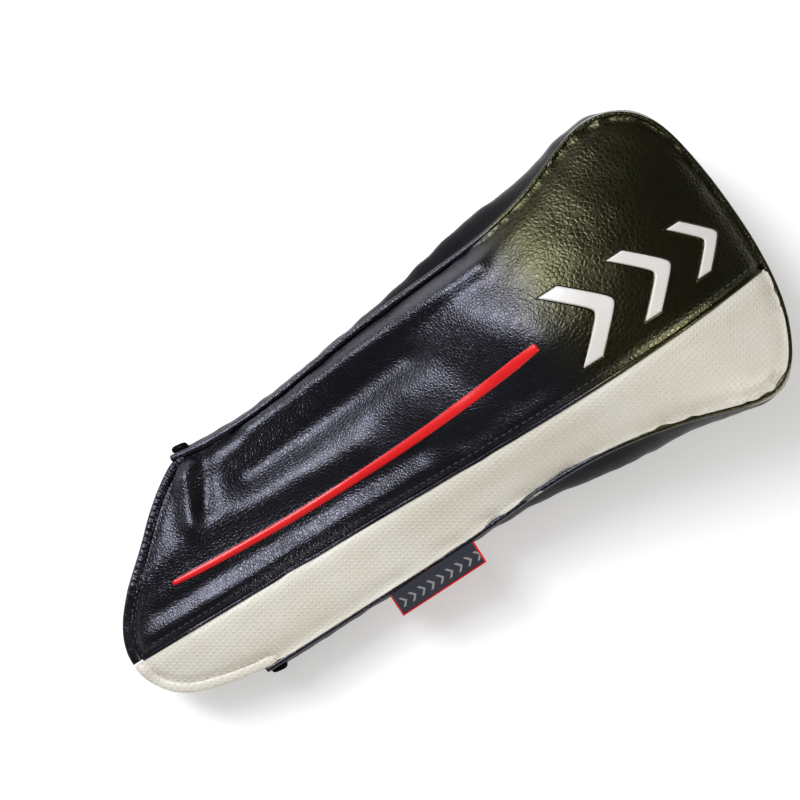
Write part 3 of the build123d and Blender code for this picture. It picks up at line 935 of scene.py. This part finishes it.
# ---- label ----
label_joint = next(j for j in frame["joints"] if j["name"] == "label_flap")
LABEL_ROOT = np.array(label_joint["pos_m"]) / MM
LABEL_ALONG = -np.array(label_joint["axis"])
LABEL_TUCK = 1.9        # how far the label runs on from its hinge to the piping
LABEL_THICK = 0.5


def build_label():
    """Two layers of woven tape that leave the seam, with a slight curl."""
    low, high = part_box("label_edge")
    half_length = (high.x - low.x) / MM / LABEL_ALONG[0] / 2
    up = np.cross(LABEL_ALONG, [0, 1, 0])
    up = up if up[2] > 0 else -up
    outward = np.array([0, -1, 0])
    for name, slot, node, half, reach, level in (
        ("label_backing", "red_trim", "label_edge", half_length, 10.0, -0.02),
        ("label_tape", "label_cloth", "label_face", half_length - 0.8, 9.1, 0.5),
    ):
        u, v = np.linspace(-half, half, 60), np.linspace(-LABEL_TUCK, reach, 14)
        uu, vv = np.meshgrid(u, v, indexing="ij")
        curl = 0.5 * (vv / 10) ** 2 * np.sin(uu / half * 1.5 + 0.4)
        top = LABEL_ROOT + uu[..., None] * LABEL_ALONG + vv[..., None] * outward
        top = top + (level + curl)[..., None] * up
        piece = closed_sheet(name, top, top - LABEL_THICK * up)
        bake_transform(piece)
        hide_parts(node)
        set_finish(piece, slot)


# ---- materials ----
POSITIVE = 1000.0       # a whole number that keeps a repeating value above zero


class Look:
    """A node material being built: its shader, its object coordinates and short helpers."""

    def __init__(self, name, roughness=0.5, **inputs):
        self.material = bpy.data.materials.new(name)
        self.material.use_nodes = True
        self.nodes = self.material.node_tree.nodes
        self.shader = self.nodes["Principled BSDF"]
        self.shader.inputs["Roughness"].default_value = roughness
        for key, value in inputs.items():
            self.shader.inputs[key.replace("_", " ")].default_value = value
        self.place = self.add("ShaderNodeTexCoord").outputs["Object"]

    def link(self, source, target):
        """Joins an output to an input, or gives the input a number or a colour."""
        if isinstance(source, tuple):
            target.default_value = (*source, 1)
        elif isinstance(source, (int, float)):
            target.default_value = source
        else:
            self.material.node_tree.links.new(source, target)

    def add(self, kind, *values, **settings):
        """A node, with its first inputs given or joined."""
        node = self.nodes.new(kind)
        for key, value in settings.items():
            setattr(node, key, value)
        for value, socket in zip(values, node.inputs):
            self.link(value, socket)
        return node

    def math(self, operation, a, b=0.0):
        return self.add("ShaderNodeMath", a, b, operation=operation).outputs[0]

    def times(self, a, b):
        return self.math("MULTIPLY", a, b)

    def wave(self, value, pitch):
        """A sine wave with a pitch in millimetres."""
        return self.math("SINE", self.times(value, 2 * math.pi / (pitch * MM)))

    def off_centre(self, value):
        """Where a value is between two whole numbers, from -0.5 to 0.5."""
        return self.math("SUBTRACT", self.math("FRACT", self.math("ADD", value, POSITIVE)), 0.5)

    def spread(self, value, low, high, to_low=0.0, to_high=1.0):
        """A value's range turned smoothly into another range."""
        ranges = value, low, high, to_low, to_high
        return self.add("ShaderNodeMapRange", *ranges, interpolation_type="SMOOTHSTEP").outputs[0]

    def axes(self, vector=None):
        return self.add("ShaderNodeSeparateXYZ", vector or self.place).outputs

    def turned(self, angle):
        """Object coordinates turned about the vertical."""
        node = self.add("ShaderNodeMapping", self.place)
        node.inputs["Rotation"].default_value = (0, 0, angle)
        return node.outputs[0]

    def noise(self, size, detail):
        """Noise with features of about size millimetres."""
        return self.add("ShaderNodeTexNoise", self.place, 0.0, 1000 / size, detail).outputs["Fac"]

    def cells(self, size, feature="DISTANCE_TO_EDGE", vector=None):
        """Cells of about size millimetres."""
        vector = vector or self.place
        return self.add("ShaderNodeTexVoronoi", vector, 0.0, 1000 / size, feature=feature).outputs["Distance"]

    def mix(self, share, a, b):
        node = self.add("ShaderNodeMix", data_type="RGBA")
        for value, socket in ((share, "Factor"), (a, 6), (b, 7)):
            self.link(value, node.inputs[socket])
        return node.outputs[2]

    def patches(self, size, detail, dark, light):
        """Soft patches of two tones, as the base colour."""
        self.colour(self.mix(self.noise(size, detail), dark, light))

    def colour(self, value):
        self.link(value, self.shader.inputs["Base Color"])

    def relief(self, height, strength, depth):
        """Bump of the given depth in millimetres, on top of any before it."""
        node = self.add("ShaderNodeBump")
        node.inputs["Strength"].default_value = strength
        node.inputs["Distance"].default_value = depth * MM
        self.link(height, node.inputs["Height"])
        normal = self.shader.inputs["Normal"]
        if normal.is_linked:
            self.link(normal.links[0].from_socket, node.inputs["Normal"])
        self.link(node.outputs[0], normal)


def black_leather():
    look = Look("black_leather", Specular_IOR_Level=0.8)
    x = look.axes()[0]
    head = look.spread(x, 0.055, 0.090)
    jitter = look.add("ShaderNodeTexNoise", look.place, 0.0, 260).outputs["Color"]
    shift = look.add("ShaderNodeVectorMath", jitter, operation="SCALE")
    shift.inputs["Scale"].default_value = 0.9 * MM
    uneven = look.add("ShaderNodeVectorMath", look.place, shift.outputs[0], operation="ADD").outputs[0]
    fine = look.spread(look.cells(1.5, vector=uneven), 0.0, 0.30)
    coarse = look.spread(look.cells(2.3, vector=uneven), 0.0, 0.32)
    neck_share = look.math("SUBTRACT", 1.0, head)
    grain = look.math("ADD", look.times(fine, neck_share), look.times(coarse, head))
    worn = look.spread(look.noise(38, 3), 0.35, 0.7, 0.55, 1.0)
    look.relief(look.times(grain, worn), 0.75, 0.17)
    tone = look.spread(look.noise(30, 4), 0.3, 0.75)
    # Painted light colour: the leather's own near-black, with a painted cool cast at the neck and a painted
    # warm olive cast towards the head
    black_with_cool_light = look.mix(tone, (0.002, 0.002, 0.003), (0.005, 0.005, 0.007))
    black_with_warm_light = look.mix(tone, (0.003, 0.003, 0.001), (0.006, 0.005, 0.002))
    look.colour(look.mix(head, black_with_cool_light, black_with_warm_light))
    look.link(look.spread(grain, 0, 1, 0.36, 0.29), look.shader.inputs["Roughness"])
    # Painted reflection colour: the specular tint turns the highlights bluish at the neck and olive at the
    # head
    painted_reflection_tint = look.mix(head, (0.84, 0.84, 1.0), (0.80, 0.78, 0.42))
    look.link(painted_reflection_tint, look.shader.inputs["Specular Tint"])
    return look.material


def gloss_leather():
    look = Look("gloss_leather", 0.24, Specular_IOR_Level=0.05)
    look.relief(look.cells(1.1), 0.25, 0.10)
    look.relief(look.noise(9, 3), 0.3, 0.5)
    look.patches(20, 3, (0.003, 0.003, 0.004), (0.007, 0.007, 0.009))
    look.link(look.spread(look.noise(6, 3), 0.3, 0.7, 0.2, 0.34), look.shader.inputs["Roughness"])
    return look.material


DOT_PITCH, DOT_ROW = 3.2, 1.6      # embossed dots of the ivory leather, in millimetres
DOT_TURN = math.radians(33)


def ivory_leather():
    look = Look("ivory_leather", 0.42, Coat_Weight=0.10, Coat_Roughness=0.3)
    flat = look.axes(look.turned(DOT_TURN))
    row = look.math("DIVIDE", flat[1], DOT_ROW * MM)
    odd = look.math("MODULO", look.math("FLOOR", look.math("ADD", row, POSITIVE)), 2.0)
    across = look.math("ADD", look.math("DIVIDE", flat[0], DOT_PITCH * MM), look.times(odd, 0.5))
    dx = look.times(look.off_centre(across), DOT_PITCH)
    dy = look.times(look.off_centre(row), DOT_ROW)
    gap = look.math("SQRT", look.math("ADD", look.times(dx, dx), look.times(dy, dy)))
    dot = look.spread(gap, 0.25, 0.65, 1.0, 0.0)
    look.relief(dot, 0.8, 0.30)
    look.relief(look.cells(0.9), 0.18, 0.07)
    tone = look.spread(look.noise(45, 4), 0.3, 0.7)
    ivory = look.mix(tone, (0.78, 0.735, 0.605), (0.84, 0.80, 0.69))
    look.colour(look.mix(look.times(dot, 0.6), ivory, (0.97, 0.95, 0.88)))
    return look.material


def ivory_rubber():
    look = Look("ivory_rubber", 0.38, Coat_Weight=0.15)
    look.relief(look.noise(1.2, 3), 0.2, 0.10)
    look.patches(14, 3, (0.80, 0.77, 0.69), (0.90, 0.88, 0.84))
    return look.material


def red_trim():
    look = Look("red_trim", 0.36, Coat_Weight=0.2)
    look.relief(look.cells(0.7), 0.25, 0.08)
    look.patches(10, 3, (0.80, 0.010, 0.012), (0.95, 0.022, 0.022))
    return look.material


def fibre(name, dark, light, pitch, angle, depth, roughness):
    """Cloth made of ribs or threads that run at an angle in plan."""
    look = Look(name, roughness, Sheen_Weight=0.3)
    across, along, _ = look.axes(look.turned(angle))
    rib = look.math("ADD", look.wave(across, pitch), look.times(look.wave(along, pitch / 2), 0.4))
    look.relief(rib, 0.8, depth)
    look.relief(look.noise(0.5, 3), 0.4, 0.15)
    # Painted shade and light: the cloth's own colour, darker in the rib valleys and lighter on the ridges
    look.colour(look.mix(look.spread(rib, -1.4, 1.4), dark, light))
    return look.material


ARROW_PITCH = 5.2


def label_cloth():
    """Woven tape with a row of small woven arrowheads."""
    look = Look("label_cloth", 0.7, Sheen_Weight=0.2)
    x, y, _ = look.axes()
    low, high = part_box("label_face")
    middle = (low.y + high.y) / 2
    fold = look.math("ABSOLUTE", look.math("SUBTRACT", y, middle))
    slide = look.math("DIVIDE", look.math("ADD", x, look.times(fold, 0.9)), ARROW_PITCH * MM)
    band = look.math("ABSOLUTE", look.off_centre(slide))
    inside = look.spread(fold, 0.0022, 0.0026, 1.0, 0.0)
    mark = look.times(look.spread(band, 0.10, 0.14, 1.0, 0.0), inside)
    weft, warp = look.wave(x, 0.5), look.wave(y, 0.4)
    look.relief(look.math("ADD", weft, warp), 0.6, 0.12)
    ground = look.mix(look.noise(2, 2), (0.010, 0.012, 0.022), (0.022, 0.025, 0.045))
    look.colour(look.mix(mark, ground, (0.34, 0.33, 0.31)))
    return look.material


def soft_foam():
    look = Look("foam", 0.95)
    look.relief(look.cells(0.9, "F1"), 0.8, 0.4)
    look.patches(3, 3, (0.07, 0.07, 0.075), (0.14, 0.14, 0.15))
    return look.material


def fleece():
    look = Look("lining", 1.0, Sheen_Weight=0.6, Sheen_Roughness=0.5)
    look.relief(look.noise(1.6, 5), 0.9, 0.8)
    look.patches(2.5, 4, (0.035, 0.035, 0.04), (0.10, 0.10, 0.11))
    return look.material


looks = {
    "black_leather": black_leather(),
    "gloss_leather": gloss_leather(),
    "ivory_leather": ivory_leather(),
    "ivory_rubber": ivory_rubber(),
    "red_trim": red_trim(),
    "foam": soft_foam(),
    "lining": fleece(),
    "label_cloth": label_cloth(),
}
# Each cloth's dark colour is its own colour with painted shade for the rib valleys, and its light colour is
# painted light for the ridges
KNIT_VALLEY_SHADED, KNIT_RIDGE_LIT = (0.010, 0.010, 0.012), (0.035, 0.035, 0.04)
for name, dark, light, pitch, angle, depth, roughness in (
    ("cord", (0.40, 0.38, 0.33), (0.62, 0.60, 0.54), 1.2, 0.7, 0.2, 0.9),
    ("stretch_fabric", KNIT_VALLEY_SHADED, KNIT_RIDGE_LIT, 1.6, math.pi / 2, 0.35, 0.9),
    ("elastic", (0.55, 0.55, 0.53), (0.80, 0.80, 0.78), 1.1, 0.0, 0.2, 0.9),
    ("black_thread", (0.012, 0.012, 0.014), (0.05, 0.05, 0.055), 0.5, 0.6, 0.08, 0.6),
    ("ivory_thread", (0.62, 0.58, 0.48), (0.80, 0.76, 0.66), 0.5, 0.6, 0.08, 0.6),
):
    looks[name] = fibre(name, dark, light, pitch, angle, depth, roughness)


def build_elastic():
    """Elastic bands, waved by their own gathers, between the knit and the lining."""
    low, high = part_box("elastic_bands")
    for name, centre in zip(("elastic_mouth", "elastic_neck"), band_centres()):
        x = np.linspace(centre - BAND_WIDTH / 2, centre + BAND_WIDTH / 2, 9)
        y = np.linspace(low.y / MM, high.y / MM, 150)
        xx, yy = np.meshgrid(x, y, indexing="ij")
        z = np.maximum(back_cad(xx, yy) + NECK_RIPPLE * (1 + gathers(xx, yy)), 0) + SKIN + 0.1
        plan = np.stack([xx, yy], 2)
        band = closed_sheet(name, with_height(plan, z), with_height(plan, z + 1.2))
        on_cover(band, "elastic", "elastic_bands")


puff = swell_of_front()
build_front()
build_emblem()
build_tongue_edge()
build_piping()
build_gusset()
build_back()
build_hem()
build_label()
build_elastic()

slot_of_node = {p["node"]: p["material_slot"] for p in frame["record"]["subparts"]}
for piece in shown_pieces():
    slot = piece.get("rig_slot") or slot_of_node[piece["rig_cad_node"]]
    piece.data.materials.clear()
    piece.data.materials.append(looks[slot])


# ---- floor, light, camera ----
FLOOR_GLOW = 0.35       # keeps the floor pale under a soft light
VIEW_TURN = math.radians(-33)
VIEW_RIGHT = Vector((math.cos(VIEW_TURN), math.sin(VIEW_TURN), 0))
VIEW_UP = Vector((-math.sin(VIEW_TURN), math.cos(VIEW_TURN), 0))
VIEW_WIDTH, VIEW_DISTANCE = 0.368, 1.0      # metres
VIEW_SHIFT = 0.0173     # the object isn't quite in the middle of the picture


def area_light(name, right, up, height, side, power, colour):
    """A square softbox that faces the object, placed in metres to the right, up and above."""
    data = bpy.data.lights.new(name, "AREA")
    data.size, data.energy, data.color = side, power, colour
    lamp = staged(name, data)
    lamp.location = VIEW_RIGHT * right + VIEW_UP * up + Vector((0, 0, height))
    lamp.rotation_euler = (-lamp.location).to_track_quat("-Z", "Y").to_euler()


floor_mesh = bpy.data.meshes.new("floor")
floor_mesh.from_pydata([(-3, -3, 0), (3, -3, 0), (3, 3, 0), (-3, 3, 0)], [], [(0, 1, 2, 3)])
floor_look = Look("floor", 0.8, Emission_Strength=FLOOR_GLOW)
floor_look.patches(400, 2, (0.93, 0.93, 0.93), (0.95, 0.95, 0.95))
floor_look.link((1, 1, 1), floor_look.shader.inputs["Emission Color"])
floor_mesh.materials.append(floor_look.material)
staged("floor", floor_mesh)

area_light("window_high", -0.26, 0.20, 1.3, 0.35, 1.2, (0.93, 0.94, 1.0))
area_light("window", -0.65, 0.51, 1.2, 0.55, 11, (0.93, 0.94, 1.0))
area_light("window_low", -1.1, 0.85, 1.1, 0.7, 14, (0.94, 0.95, 1.0))
area_light("room", 1.2, -0.8, 0.7, 0.4, 10, (1.0, 0.97, 0.91))
world = bpy.data.worlds.new("studio")
world.use_nodes = True
background = world.node_tree.nodes["Background"]
background.inputs["Color"].default_value = (0.95, 0.97, 1.0, 1)
background.inputs["Strength"].default_value = 0.06
bpy.context.scene.world = world
bpy.context.scene.view_settings.view_transform = "Standard"

view = bpy.data.cameras.new("camera")
view.lens = view.sensor_width * VIEW_DISTANCE / VIEW_WIDTH
camera = staged("camera", view)
camera.location = (0, VIEW_SHIFT, front_rim[:, 2].max() * MM + VIEW_DISTANCE)
camera.rotation_euler = (0, 0, VIEW_TURN)
bpy.context.scene.camera = camera
